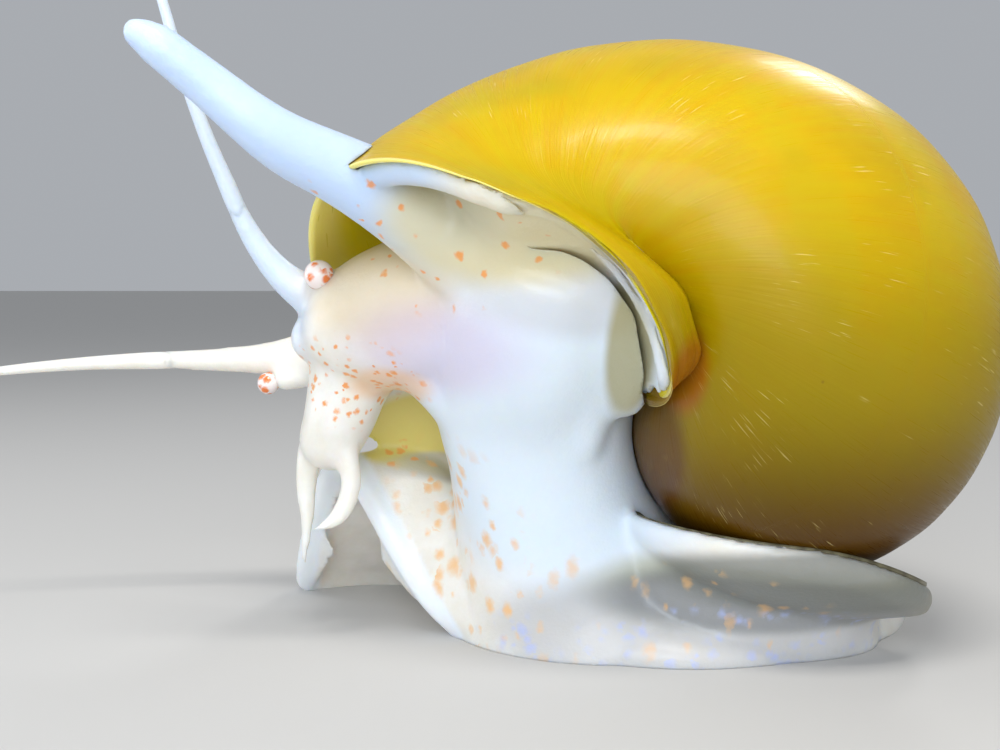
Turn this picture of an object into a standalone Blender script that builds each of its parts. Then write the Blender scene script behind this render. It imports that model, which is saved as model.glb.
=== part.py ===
# Apple snail, life size, crawling with the front of the foot raised and the siphon out.
# World frame: metres, +Z up, head toward -X, tail toward +X, the snail's left side toward -Y.
# The drawing below is in drawing millimetres; SCALE turns them into metres at real size.

import math

import bmesh
import bpy
import numpy as np
from mathutils import Matrix, Vector

# Driving dimensions
SCALE = 0.0009                      # one drawing millimetre is 0.9 mm on the animal
SOLE_CENTRE = (13.0, 5.0, 0.0)      # drawing point that becomes the origin
GAP = 0.34                          # clearance between neighbouring pieces

# Shell: a logarithmic spiral tube about a tilted axis
WHORL_GROWTH = 0.1256               # growth per radian, 2.2 times a turn
TUBE_RADIUS = 7.625                 # axis to the middle of the tube at the mouth
TUBE_HALF = (13.36, 18.63)          # half width and half height of the tube
TUBE_TWIST = -0.3925
SPIRE_DROP = 27.16                  # apex to the middle of the tube along the axis
AXIS_AZIMUTH = 0.7193
AXIS_ELEVATION = -0.374
MOUTH_ANGLE = 4.5258
APEX = (29.72, 8.90, 13.98)
FLARE = (0.0979, 0.1241, -2.298, 1.921)
MOUTH_NORMAL = (-0.5486, -0.4399, -0.7110)
MOUTH_OFFSET = -11.88
WALL = 0.95
SHELL_SIDES = 36
CAVITY_DEPTH = 0.9                  # radians that the hollow runs back from the mouth
LIP_FARTHEST = 1.3
LIP_SUTURE = 1.7                    # side of the tube at which the inner lip begins
INNER_LIP_SIDES = (1.7, 3.3, 3.5, 3.7, 3.8, 3.9, 4.1, 4.3, 4.5, 4.7, 4.85)
INNER_LIP_TURNS = (1.05, -1.3, -1.2, -0.75, -0.4, -0.1, 0.2, 0.35, 0.5, 0.6, 0.68)
INNER_LIP_FOLD = 6.5                # how far the inner lip is pushed toward the umbilicus

# Operculum
OPERCULUM_CENTRE = (20.3, -4.0)
OPERCULUM_HALF = (11.0, 9.0)
OPERCULUM_THICK = 0.7

# Foot
NEAR_MARGIN = [(-2.3, 0.0), (3.0, -5.5), (11.0, -9.0), (18.0, -8.5), (24.5, -5.0), (30.0, 0.5), (33.0, 7.0)]
FAR_MARGIN = [(-17.0, 17.0), (-10.0, 20.0), (0.0, 20.5), (10.0, 19.5), (19.0, 17.5), (27.0, 14.0), (32.5, 9.5)]
ARCH_HEIGHT = 12.4
ARCH_LENGTH = 0.30
ARCH_LEAN = 4.4
RIM_THICK = 1.7
DOME_ALONG = (0, 0.06, 0.16, 0.3, 0.42, 0.55, 0.75, 1.0)
DOME_HEIGHT = (0.0, 1.2, 3.6, 5.4, 4.4, 3.2, 2.6, 0.6)

# Limbs: x, y, z, half width seen from the side, half depth
COLUMN = [
    (7.0, 3.0, 1.2, 13.0, 11.5), (5.6, 2.4, 4.5, 9.8, 10.0), (4.3, 1.2, 9.0, 7.9, 8.8), (3.2, -0.5, 14.0, 7.1, 8.0),
    (2.6, -2.0, 18.5, 7.5, 8.5), (2.6, -4.0, 24.0, 8.0, 11.0), (4.0, -6.0, 30.0, 8.0, 12.0)]
NECK = [
    (4.0, -4.0, 25.0, 7.0, 9.0), (-2.0, -3.5, 25.0, 6.4, 8.2), (-7.0, -2.0, 24.4, 5.6, 7.2),
    (-10.5, -0.5, 23.6, 4.4, 6.4), (-12.6, 0.5, 23.0, 2.4, 4.6)]
SNOUT = [
    (-9.8, -0.5, 23.0, 4.2, 5.4), (-11.2, -0.6, 19.5, 3.1, 4.2), (-11.9, -1.0, 17.0, 2.7, 3.5),
    (-12.6, -1.0, 15.2, 2.4, 3.0)]
PALP_RIGHT = [
    (-13.6, 0.6, 16.2, 1.2, 1.3), (-14.4, 0.8, 14.0, 1.0, 1.1), (-14.7, 0.6, 11.6, 0.85, 0.9),
    (-14.6, 0.2, 8.8, 0.55, 0.6), (-14.8, 0.0, 6.2, 0.36, 0.38), (-14.9, 0.0, 4.3, 0.22, 0.24)]
PALP_LEFT = [
    (-11.9, -2.2, 16.4, 1.2, 1.3), (-11.2, -2.8, 14.2, 0.9, 1.0), (-10.9, -3.1, 12.0, 0.78, 0.8),
    (-11.5, -3.6, 10.2, 0.74, 0.75), (-12.5, -4.1, 9.3, 0.52, 0.5), (-13.6, -4.5, 9.0, 0.24, 0.24)]
TENTACLE_LEFT = [
    (-10.8, -1.2, 23.6, 2.3, 2.3), (-13.6, -2.0, 25.6, 1.6, 1.6), (-15.6, -2.6, 27.1, 1.2, 1.2),
    (-17.2, -3.1, 29.0, 0.95, 0.95), (-18.5, -3.6, 31.3, 0.78, 0.78), (-19.6, -4.1, 34.0, 0.62, 0.62),
    (-20.9, -4.7, 37.4, 0.52, 0.52), (-22.2, -5.4, 41.5, 0.44, 0.44), (-23.5, -6.0, 46.5, 0.36, 0.36),
    (-24.9, -6.4, 51.5, 0.22, 0.22)]
TENTACLE_RIGHT = [
    (-11.0, 5.0, 21.2, 2.7, 2.7), (-15.0, 7.4, 20.9, 2.1, 2.1), (-18.5, 7.9, 20.7, 1.35, 1.35),
    (-22.0, 7.5, 20.6, 1.02, 1.02), (-26.5, 7.0, 20.6, 0.75, 0.75), (-32.8, 6.0, 20.4, 0.52, 0.52),
    (-39.0, 5.0, 19.9, 0.36, 0.36), (-43.5, 4.3, 19.3, 0.2, 0.2)]
STALK_LEFT = [(-12.0, -2.2, 25.2, 1.7, 1.7), (-12.7, -3.4, 26.5, 1.25, 1.25)]
STALK_RIGHT = [(-14.0, 7.0, 20.2, 1.6, 1.6), (-17.2, 7.0, 19.1, 1.0, 1.0)]
EYE_LEFT = (-12.95, -4.3, 27.35, 1.08)
EYE_RIGHT = (-18.55, 6.95, 18.75, 0.88)
THROAT = [
    (-1.0, -12.0, 29.5, 3.6, 3.6), (3.5, -13.2, 27.6, 3.6, 3.4), (6.0, -12.4, 24.8, 2.6, 3.0),
    (6.2, -10.5, 21.5, 2.2, 2.6), (5.4, -7.5, 16.0, 2.0, 2.0)]
SIPHON = [
    (1.5, -9.0, 26.0, 4.0, 4.0), (-3.0, -11.5, 29.8, 3.5, 3.2), (-6.6, -13.0, 32.1, 2.8, 2.6),
    (-10.0, -14.5, 33.9, 2.3, 2.2), (-13.2, -16.0, 35.4, 2.0, 1.9), (-15.4, -17.0, 36.9, 1.72, 1.7),
    (-17.6, -17.6, 38.7, 1.52, 1.5), (-19.6, -18.3, 40.3, 1.38, 1.4), (-20.9, -18.7, 41.3, 1.3, 1.35),
    (-21.9, -19.0, 41.9, 0.95, 1.0)]
VOXEL = 0.5
SHELL_VOXEL = 0.42
SKIN_TRIANGLES = 16000


def mix(a, b, f):
    return a + (b - a) * f


def spline(points, count, start=0.0, end=1.0):
    """Catmull-Rom curve through rows of numbers, sampled evenly between two fractions."""
    p = np.array(points, float)
    p = np.vstack([2 * p[0] - p[1], p, 2 * p[-1] - p[-2]])
    spans = len(p) - 3
    out = []
    for u in np.linspace(start * spans, end * spans, count):
        i = min(int(u), spans - 1)
        f = u - i
        a, b, c, d = p[i:i + 4]
        out.append(0.5 * (2 * b + (c - a) * f + (2 * a - 5 * b + 4 * c - d) * f * f
                          + (3 * b - a - 3 * c + d) * f ** 3))
    return np.array(out)


def make_object(name, mesh_or_bm, collection):
    if isinstance(mesh_or_bm, bmesh.types.BMesh):
        mesh = bpy.data.meshes.new(name)
        bmesh.ops.recalc_face_normals(mesh_or_bm, faces=mesh_or_bm.faces)
        mesh_or_bm.to_mesh(mesh)
        mesh_or_bm.free()
    else:
        mesh = mesh_or_bm
    obj = bpy.data.objects.new(name, mesh)
    collection.objects.link(obj)
    return obj


def loft_rings(rings, closed_ends=True):
    """Closed body through equal rings of points, with a fan at each end."""
    bm = bmesh.new()
    rows = [[bm.verts.new(p) for p in ring] for ring in rings]
    sides = len(rows[0])
    for lower, upper in zip(rows, rows[1:]):
        for i in range(sides):
            j = (i + 1) % sides
            bm.faces.new((lower[i], lower[j], upper[j], upper[i]))
    if closed_ends:
        for row, ring in ((rows[0], rings[0]), (rows[-1], rings[-1])):
            centre = bm.verts.new(np.mean(ring, axis=0))
            for i in range(sides):
                bm.faces.new((row[i], row[(i + 1) % sides], centre))
    return bm


def limb(name, stations, collection, sides=14, count=16, start=0.0, end=1.0, rounded=(False, True)):
    """Tapered tube with oval sections: half width in the side view, half depth along Y."""
    path = spline(stations, count, start, end)
    centre = path[:, :3]
    tangent = np.gradient(centre, axis=0)
    tangent /= np.linalg.norm(tangent, axis=1)[:, None]
    angles = np.linspace(0, 2 * math.pi, sides, endpoint=False)
    rings = []

    def ring(c, t, a, b):
        across = np.cross(t, (0, 1, 0))
        across /= np.linalg.norm(across)
        deep = np.cross(across, t)
        return [c + across * a * math.cos(w) + deep * b * math.sin(w) for w in angles]

    if rounded[0]:
        for f in (0.95, 0.7, 0.35):
            g = math.sqrt(1 - f * f)
            rings.append(ring(centre[0] - tangent[0] * path[0, 3] * f, tangent[0], path[0, 3] * g, path[0, 4] * g))
    for c, t, row in zip(centre, tangent, path):
        rings.append(ring(c, t, row[3], row[4]))
    if rounded[1]:
        for f in (0.35, 0.7, 0.95):
            g = math.sqrt(1 - f * f)
            rings.append(ring(centre[-1] + tangent[-1] * path[-1, 3] * f, tangent[-1], path[-1, 3] * g, path[-1, 4] * g))
    return make_object(name, loft_rings(rings), collection)


# Shell surface: radius e^(kt)(R + a cos s cos f - b sin s sin f), height e^(kt)(-Z + a cos s sin f + b sin s cos f)
def shell_point(turn, side, grow=0.0):
    half_a, half_b = TUBE_HALF
    flare_radius, flare_size, flare_drop, flare_start = FLARE
    w = min(max((turn + flare_start) / flare_start, 0.0), 1.6) ** 2
    size = 1 + flare_size * w
    e = math.exp(WHORL_GROWTH * turn)
    a = size * half_a * e + grow
    b = size * half_b * e + grow
    cf, sf = math.cos(TUBE_TWIST), math.sin(TUBE_TWIST)
    radius = e * TUBE_RADIUS * (1 + flare_radius * w) + a * math.cos(side) * cf - b * math.sin(side) * sf
    height = -e * SPIRE_DROP + a * math.cos(side) * sf + b * math.sin(side) * cf - flare_drop * w
    radius = max(radius, 0.5 + max(0.0, -grow) - 9.0 * (1 - smoothstep((turn + 0.3) / 0.8)))
    angle = MOUTH_ANGLE - turn
    local = Vector((radius * math.cos(angle), radius * math.sin(angle), height))
    axis = Vector((math.sin(AXIS_AZIMUTH) * math.cos(AXIS_ELEVATION),
                   math.cos(AXIS_AZIMUTH) * math.cos(AXIS_ELEVATION), math.sin(AXIS_ELEVATION)))
    right = (Vector((1, 0, 0)) - axis * axis.x).normalized()
    frame = Matrix((right, axis.cross(right), axis)).transposed()
    return frame @ local + Vector(APEX) + Vector((inner_lip_fold(turn, side, grow), 0, 0))


def inner_lip_fold(turn, side, grow):
    """How far the wall beside the umbilicus is moved along X, so that it folds in there."""
    late = turn - 0.8 * (side - 4.3)
    share = smoothstep((side - 3.6) / 0.6) * (1 - smoothstep((side - 4.4) / 0.6))
    hold = smoothstep((late + 2.4) / 1.3) * (0.2 + 0.8 * (1 - smoothstep((late + 0.5) / 1.0)))
    return (INNER_LIP_FOLD + 1.5 * grow) * share * hold


def mouth_turns(count, grow, ahead):
    """Turn at which each side of the tube ends, on or near a plane the given distance ahead of the mouth."""
    normal = Vector(MOUTH_NORMAL)
    found = []
    for i in range(count):
        side = 2 * math.pi * i / count
        if LIP_SUTURE < side < INNER_LIP_SIDES[-1]:
            found.append(np.interp(side, INNER_LIP_SIDES, INNER_LIP_TURNS) + 0.06 * max(ahead, 0.0))
            continue
        low, high = -1.2, 1.9
        for step in range(30):
            middle = (low + high) / 2
            if shell_point(middle, side, grow).dot(normal) - MOUTH_OFFSET < ahead:
                low = middle
            else:
                high = middle
        spread = 0.25 * smoothstep(side / LIP_SUTURE) if side < LIP_SUTURE else 0.0
        found.append(min(low, LIP_FARTHEST - spread))
    return found


def whorl(name, first, last, count, sides, collection, grow=0.0, ahead=None):
    """One length of the spiral tube, closed at both ends; with ahead it ends on a plane near the mouth."""
    angles = np.linspace(0, 2 * math.pi, sides, endpoint=False)
    ends = [last] * sides if ahead is None else mouth_turns(sides, grow, ahead)
    rings = []
    for turn in np.linspace(first, last, count):
        late = smoothstep((turn - last + 2.2) / 2.2)
        rings.append([shell_point(turn + (end - last) * late, s, grow) for s, end in zip(angles, ends)])
    return make_object(name, loft_rings(rings), collection)


def operculum_height(x, y):
    near = max(0.0, -3.5 - y)
    bend = 0.038 if x < 20.0 else 0.012
    return 5.2 + 0.12 * (20.0 - x) + bend * (20.0 - x) ** 2 + 0.053 * near ** 2


def plate(name, centre, half, top, thick, collection, rings=5, sides=28, edge=0.45):
    """Thin oval plate that follows a height function, with a rounded edge."""
    bm = bmesh.new()
    layers = []
    for side in (1, -1):
        rows = []
        for r in range(1, rings + 1):
            f = r / rings
            row = []
            for i in range(sides):
                w = 2 * math.pi * i / sides
                x = centre[0] + half[0] * f * math.cos(w)
                y = centre[1] + half[1] * f * math.sin(w)
                drop = thick * (edge if r == rings else 1.0)
                z = top(x, y) - thick / 2 + side * drop / 2
                row.append(bm.verts.new((x, y, z)))
            rows.append(row)
        middle = bm.verts.new((centre[0], centre[1], top(*centre) - thick / 2 + side * thick / 2))
        for i in range(sides):
            bm.faces.new((rows[0][i], rows[0][(i + 1) % sides], middle))
        for lower, upper in zip(rows, rows[1:]):
            for i in range(sides):
                j = (i + 1) % sides
                bm.faces.new((lower[i], lower[j], upper[j], upper[i]))
        layers.append(rows[-1])
    for i in range(sides):
        j = (i + 1) % sides
        bm.faces.new((layers[0][i], layers[0][j], layers[1][j], layers[1][i]))
    return make_object(name, bm, collection)


def smoothstep(f):
    f = min(max(f, 0.0), 1.0)
    return f * f * (3 - 2 * f)


def foot_sheet(along, across):
    """Point of the sole: along 0 front to 1 tail, across -1 near margin to 1 far margin."""
    near = NEAR_CURVE[int(round(along * (len(NEAR_CURVE) - 1)))]
    far = FAR_CURVE[int(round(along * (len(FAR_CURVE) - 1)))]
    x, y = mix(near, far, (across + 1) / 2)
    off = abs(across + 0.1) / (0.9 if across < -0.1 else 1.1)
    bell = max(0.0, 1 - off ** 1.5) ** 1.5
    lift = ARCH_HEIGHT * bell * (1 - smoothstep(along / ARCH_LENGTH))
    lean = ARCH_LEAN * math.sqrt(bell) * max(0.0, 1 - along / 0.12) ** 1.3
    return (x - 0.757 * lean, y - 0.654 * lean, lift)


def foot_body(name, collection, along_count=44, across_count=26):
    """Foot between its sole and a domed top, as thick as its rim at the edges."""
    bm = bmesh.new()
    sole = np.array([[foot_sheet(i / along_count, -1 + 2 * j / across_count) for j in range(across_count + 1)]
                     for i in range(along_count + 1)])
    up = np.cross(np.gradient(sole, axis=0), np.gradient(sole, axis=1))
    up /= np.linalg.norm(up, axis=-1, keepdims=True)
    up *= np.sign(up[..., 2:])
    along = np.linspace(0, 1, along_count + 1)[:, None]
    across = np.linspace(-1, 1, across_count + 1)[None]
    top = sole + up * (RIM_THICK * (0.85 - 0.3 * along) * (1 - 0.35 * np.abs(across) ** 8))[..., None]
    top[..., 2] += np.interp(along, DOME_ALONG, DOME_HEIGHT) * np.maximum(0.0, 1 - across ** 2) ** 0.8
    sole[..., 2] -= [[1 - smoothstep(z / 1.5) for z in row] for row in sole[..., 2]]
    sheets = [[[bm.verts.new(p) for p in row] for row in sheet] for sheet in (top, sole)]
    for rows in sheets:
        for i in range(along_count):
            for j in range(across_count):
                bm.faces.new((rows[i][j], rows[i + 1][j], rows[i + 1][j + 1], rows[i][j + 1]))
    top, sole = sheets
    edge = [(i, 0) for i in range(along_count)] + [(along_count, j) for j in range(across_count)]
    edge += [(i, across_count) for i in range(along_count, 0, -1)] + [(0, j) for j in range(across_count, 0, -1)]
    for (i, j), (k, m) in zip(edge, edge[1:] + edge[:1]):
        bm.faces.new((top[i][j], top[k][m], sole[k][m], sole[i][j]))
    return make_object(name, bm, collection)


def bar(name, path, radii, collection, sides=12):
    """Round bar of changing radius along a path."""
    path = np.array(path, float)
    tangent = np.gradient(path, axis=0)
    tangent /= np.linalg.norm(tangent, axis=1)[:, None]
    across = np.cross(tangent[0], (0.3, 0.2, 0.9))
    rings = []
    for p, t, r in zip(path, tangent, radii):
        across = across - t * (across @ t)
        across /= np.linalg.norm(across)
        deep = np.cross(t, across)
        rings.append([p + r * (across * math.cos(w) + deep * math.sin(w))
                      for w in np.linspace(0, 2 * math.pi, sides, endpoint=False)])
    return make_object(name, loft_rings(rings), collection)


def apply_modifiers(obj):
    depsgraph = bpy.context.evaluated_depsgraph_get()
    mesh = bpy.data.meshes.new_from_object(obj.evaluated_get(depsgraph))
    obj.modifiers.clear()
    obj.data = mesh


def boolean(obj, other, operation, solver="EXACT", remove=True):
    modifier = obj.modifiers.new("Boolean", "BOOLEAN")
    modifier.operation = operation
    modifier.solver = solver
    modifier.object = other
    apply_modifiers(obj)
    if remove:
        bpy.data.objects.remove(other)


def triangulate(obj):
    bm = bmesh.new()
    bm.from_mesh(obj.data)
    bmesh.ops.triangulate(bm, faces=bm.faces)
    bm.to_mesh(obj.data)
    bm.free()


def islands(obj):
    """Vertex index sets of the connected surfaces of a mesh."""
    mesh = obj.data
    parent = list(range(len(mesh.vertices)))

    def root(i):
        while parent[i] != i:
            parent[i] = parent[parent[i]]
            i = parent[i]
        return i

    for edge in mesh.edges:
        a, b = root(edge.vertices[0]), root(edge.vertices[1])
        if a != b:
            parent[a] = b
    groups = {}
    for i in range(len(mesh.vertices)):
        groups.setdefault(root(i), set()).add(i)
    return list(groups.values())


def keep_island(obj, keep, name, collection):
    bm = bmesh.new()
    bm.from_mesh(obj.data)
    bm.verts.ensure_lookup_table()
    bmesh.ops.delete(bm, geom=[v for v in bm.verts if v.index not in keep], context="VERTS")
    mesh = bpy.data.meshes.new(name)
    bm.to_mesh(mesh)
    bm.free()
    piece = bpy.data.objects.new(name, mesh)
    collection.objects.link(piece)
    return piece


def keep_largest(obj):
    groups = islands(obj)
    if len(groups) > 1:
        biggest = max(groups, key=len)
        bm = bmesh.new()
        bm.from_mesh(obj.data)
        bm.verts.ensure_lookup_table()
        bmesh.ops.delete(bm, geom=[v for v in bm.verts if v.index not in biggest], context="VERTS")
        bm.to_mesh(obj.data)
        bm.free()


def slab(name, point, normal, radius, thick, collection):
    """Round cutter of the given thickness, square to the normal."""
    bm = bmesh.new()
    turn = Vector(normal).normalized().to_track_quat("Z", "Y").to_matrix().to_4x4()
    bmesh.ops.create_cone(bm, cap_ends=True, segments=20, radius1=radius, radius2=radius, depth=thick,
                          matrix=Matrix.Translation(Vector(point)) @ turn)
    cutter = make_object(name, bm, collection)
    cutter.hide_render = True
    cutter.display_type = "WIRE"
    return cutter


def half_space(name, point, normal, size, collection):
    """Large box on the side of a plane that the normal points to."""
    bm = bmesh.new()
    n = Vector(normal).normalized()
    turn = n.to_track_quat("Z", "Y").to_matrix().to_4x4()
    centre = Vector(point) + n * size / 2
    bmesh.ops.create_cube(bm, size=size, matrix=Matrix.Translation(centre) @ turn)
    cutter = make_object(name, bm, collection)
    cutter.hide_render = True
    cutter.display_type = "WIRE"
    return cutter


def station(points, fraction):
    """Position, direction and half width on a limb's centre line."""
    row = spline(points, 2, fraction, fraction)[0]
    ahead = spline(points, 2, min(fraction + 0.01, 1.0), min(fraction + 0.01, 1.0))[0]
    behind = spline(points, 2, max(fraction - 0.01, 0.0), max(fraction - 0.01, 0.0))[0]
    return Vector(row[:3]), Vector(ahead[:3] - behind[:3]).normalized(), row[3]


def trim_end(obj, points, fraction, collection, reach=4.0, room=1.5):
    """Flat end on a limb of the body, square to its centre line."""
    point, direction, width = station(points, fraction)
    cutter = slab("Trim", point + direction * reach / 2, direction, width * room + 0.5, reach, collection)
    boolean(obj, cutter, "DIFFERENCE")


def thin_out(obj, triangles):
    """Fewer triangles, with the same shape."""
    triangulate(obj)
    decimate = obj.modifiers.new("Decimate", "DECIMATE")
    decimate.ratio = min(1.0, triangles / max(1, len(obj.data.polygons)))
    apply_modifiers(obj)


def fused(name, pieces, voxel, smoothing, triangles, collection):
    """One closed skin round overlapping bodies, smoothed and thinned out."""
    bm = bmesh.new()
    for piece in pieces:
        bm.from_mesh(piece.data)
        bpy.data.objects.remove(piece)
    obj = make_object(name, bm, collection)
    remesh = obj.modifiers.new("Remesh", "REMESH")
    remesh.mode = "VOXEL"
    remesh.voxel_size = voxel
    if smoothing:
        smooth = obj.modifiers.new("Smooth", "SMOOTH")
        smooth.factor = 0.5
        smooth.iterations = smoothing
    apply_modifiers(obj)
    keep_largest(obj)
    thin_out(obj, triangles)
    return obj


def material_for(name):
    looks = {
        "shell": ((0.80, 0.47, 0.03), 0.25), "operculum": ((0.42, 0.36, 0.20), 0.4),
        "eye": ((0.85, 0.62, 0.55), 0.15), "foot": ((0.80, 0.76, 0.66), 0.4),
        "skin": ((0.82, 0.80, 0.76), 0.4)}
    key = "skin"
    for word in ("shell", "operculum", "eye", "foot"):
        if name.startswith(word):
            key = word
    colour, roughness = looks[key]
    material = bpy.data.materials.new(name)
    material.use_nodes = True
    shader = material.node_tree.nodes["Principled BSDF"]
    shader.inputs["Base Color"].default_value = (*colour, 1.0)
    shader.inputs["Roughness"].default_value = roughness
    shader.inputs["Metallic"].default_value = 0.0
    return material


for old in list(bpy.data.objects):
    bpy.data.objects.remove(old)

snail = bpy.data.collections.new("Apple_snail")
work = bpy.data.collections.new("Cutters")
bpy.context.scene.collection.children.link(snail)
bpy.context.scene.collection.children.link(work)

NEAR_CURVE = spline(NEAR_MARGIN, 45)
FAR_CURVE = spline(FAR_MARGIN, 45)
mouth = Vector(MOUTH_NORMAL).normalized()


def spiral(name, first, last, steps, grow, triangles, ahead=None):
    tube = whorl(name + "_tube", first, last, steps, SHELL_SIDES, work, grow, ahead)
    return fused(name, [tube], SHELL_VOXEL, 2, triangles, work)


def hollow_body(spare):
    """Space inside the last part of a turn, clear of the older whorls."""
    hollow = spiral("hollow", -CAVITY_DEPTH, 1.0, 40, -WALL - spare, 8000, 1.6)
    inner_whorls = spiral("inner_whorls", -27.0, -3.9, 180, spare, 8000)
    boolean(hollow, inner_whorls, "DIFFERENCE", "MANIFOLD")
    keep_largest(hollow)
    return hollow


# Shell: spiral that ends on the plane of the mouth, hollowed behind it
shell = spiral("shell", -27.0, 1.0, 230, 0.0, 40000, 0.0)
boolean(shell, hollow_body(0.0), "DIFFERENCE", "MANIFOLD")
shell = fused("shell", [shell], 0.36, 2, 5000, work)


def grown_copy(obj, distance, triangles):
    """Closed body that stands off an object's surface by a distance."""
    shape = obj.data.copy()
    shape.update()
    for vertex, normal in zip(shape.vertices, [n.vector.copy() for n in shape.vertex_normals]):
        vertex.co += normal * distance
    grown = bpy.data.objects.new(obj.name + "_grown", shape)
    work.objects.link(grown)
    return fused(obj.name + "_room", [grown], 0.4, 0, triangles, work)


# Room that the flesh leaves round the shell
wide_room = grown_copy(shell, GAP + 0.2, 14000)
least_room = grown_copy(shell, GAP - 0.04, 30000)

# Operculum, clear of the shell above it
operculum = plate("operculum", OPERCULUM_CENTRE, OPERCULUM_HALF, operculum_height, OPERCULUM_THICK, snail)
boolean(operculum, spiral("above", -27.0, 0.4, 230, GAP, 4200), "DIFFERENCE", "MANIFOLD")
keep_largest(operculum)

# Mantle that fills the mouth of the shell, with its rolled edge inside the lip
plug = whorl("plug", -CAVITY_DEPTH + 0.06, 1.0, 40, SHELL_SIDES, work, -WALL - GAP - 0.2, 0.8)
plug_face = Vector((mouth.x - 0.4, mouth.y, mouth.z))
boolean(plug, half_space("Face", plug_face * ((MOUTH_OFFSET - 3.0) / plug_face.length_squared), plug_face, 120.0,
                         work), "DIFFERENCE", "MANIFOLD")
boolean(plug, half_space("Side", (-5.6, 0.0, 25.0), (-1, 0, 0), 120.0, work), "DIFFERENCE", "MANIFOLD")
keep_largest(plug)


# Rolled edge of the mantle along the lip: thick above, a thin band down to the umbilicus
ROLL_SIDES = (5.75, 3.78)
ROLL_AT = (3.78, 3.9, 4.3, 4.5, 4.72)
ROLL_THICK = (0.5, 0.8, 0.6, 0.6, 1.1)
lip_sides, lip_ends = 2 * math.pi * np.arange(SHELL_SIDES * 4) / (SHELL_SIDES * 4), mouth_turns(SHELL_SIDES * 4, 0.0, 0.0)
lip = [shell_point(turn, side, -WALL / 2) for side, turn in zip(lip_sides, lip_ends)]
middle_of_mouth = sum(lip, Vector()) / len(lip)
collar, collar_radii = [], []
for side, p in reversed(list(zip(lip_sides, lip))):
    if ROLL_SIDES[1] <= side <= ROLL_SIDES[0]:
        thick = float(np.interp(side, ROLL_AT, ROLL_THICK))
        collar.append(p + (middle_of_mouth - p).normalized() * (thick + GAP + 0.35))
        collar_radii.append(thick)
across_front = np.linspace(-0.98, 0.98, 50)
foot_rim = [Vector(foot_sheet(0.0, a)) + Vector((0, 0, 0.5)) for a in across_front]

# Body: lofts fused into one skin
roots = [
    foot_body("foot", work),
    bar("foot_rim", foot_rim, 0.92 - 0.35 * np.abs(across_front) ** 6, work),
    plate("lobe", (20.1, -4.0), (11.0, 8.95), lambda x, y: operculum_height(x, y) - OPERCULUM_THICK - GAP, 2.0, work),
    plate("pad", (17.5, -0.5), (11.0, 7.6), lambda x, y: operculum_height(x, y) - 1.6, 4.6, work),
    plug,
    limb("column", COLUMN, work, 28, 14, rounded=(False, False)),
    limb("neck", NECK, work, 28, 14),
    limb("snout", SNOUT, work, 24, 10, rounded=(False, True)),
    limb("palp", PALP_RIGHT, work, 14, 8, end=0.45),
    limb("palp", PALP_LEFT, work, 14, 8, end=0.45),
    limb("tentacle", TENTACLE_LEFT, work, 16, 12, end=0.28),
    limb("tentacle", TENTACLE_RIGHT, work, 16, 12, end=0.5),
    limb("stalk", STALK_LEFT, work, 14, 4),
    limb("stalk", STALK_RIGHT, work, 14, 4),
    limb("siphon", SIPHON, work, 18, 14, end=0.5),
    limb("throat", THROAT, work, 18, 14, rounded=(True, True)),
    bar("collar", collar, collar_radii, work)]
body = fused("body", roots, VOXEL, 6, SKIN_TRIANGLES, work)
boolean(body, half_space("Floor", (0, 0, 0.0), (0, 0, -1), 150.0, work), "DIFFERENCE")
boolean(body, wide_room, "DIFFERENCE", "MANIFOLD")
room = plate("room", OPERCULUM_CENTRE, (OPERCULUM_HALF[0] + GAP, OPERCULUM_HALF[1] + GAP),
             lambda x, y: operculum_height(x, y) + GAP, OPERCULUM_THICK + 2 * GAP, work, edge=0.8)
boolean(body, room, "DIFFERENCE", "MANIFOLD")
keep_largest(body)

# Eyes, with the sockets they sit in
for name, (x, y, z, radius) in (("eye_left", EYE_LEFT), ("eye_right", EYE_RIGHT)):
    for size, target in ((radius, snail), (radius + GAP, work)):
        bm = bmesh.new()
        bmesh.ops.create_uvsphere(bm, u_segments=16, v_segments=10, radius=size, matrix=Matrix.Translation((x, y, z)))
        ball = make_object(name if target is snail else "socket", bm, target)
    boolean(body, ball, "DIFFERENCE")

# Outer lengths of the feelers and the siphon
ENDS = [
    ("palp_right", PALP_RIGHT, (0.30, 1.0), 12), ("palp_left", PALP_LEFT, (0.26, 1.0), 12),
    ("tentacle_left_root", TENTACLE_LEFT, (0.16, 0.52), 14), ("tentacle_left_tip", TENTACLE_LEFT, (0.52, 1.0), 12),
    ("tentacle_right_root", TENTACLE_RIGHT, (0.36, 0.62), 14), ("tentacle_right_tip", TENTACLE_RIGHT, (0.62, 1.0), 12),
    ("siphon_root", SIPHON, (0.36, 0.62), 18), ("siphon_tip", SIPHON, (0.62, 1.0), 18)]
for name, points, (start, end), sides in ENDS:
    length = np.linalg.norm(np.diff(spline(points, 60)[:, :3], axis=0), axis=1).sum()
    if not name.endswith("_tip"):
        trim_end(body, points, start, work)
    limb(name, points, snail, sides, 12, start + GAP / length, end, rounded=(False, end == 1.0))

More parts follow.
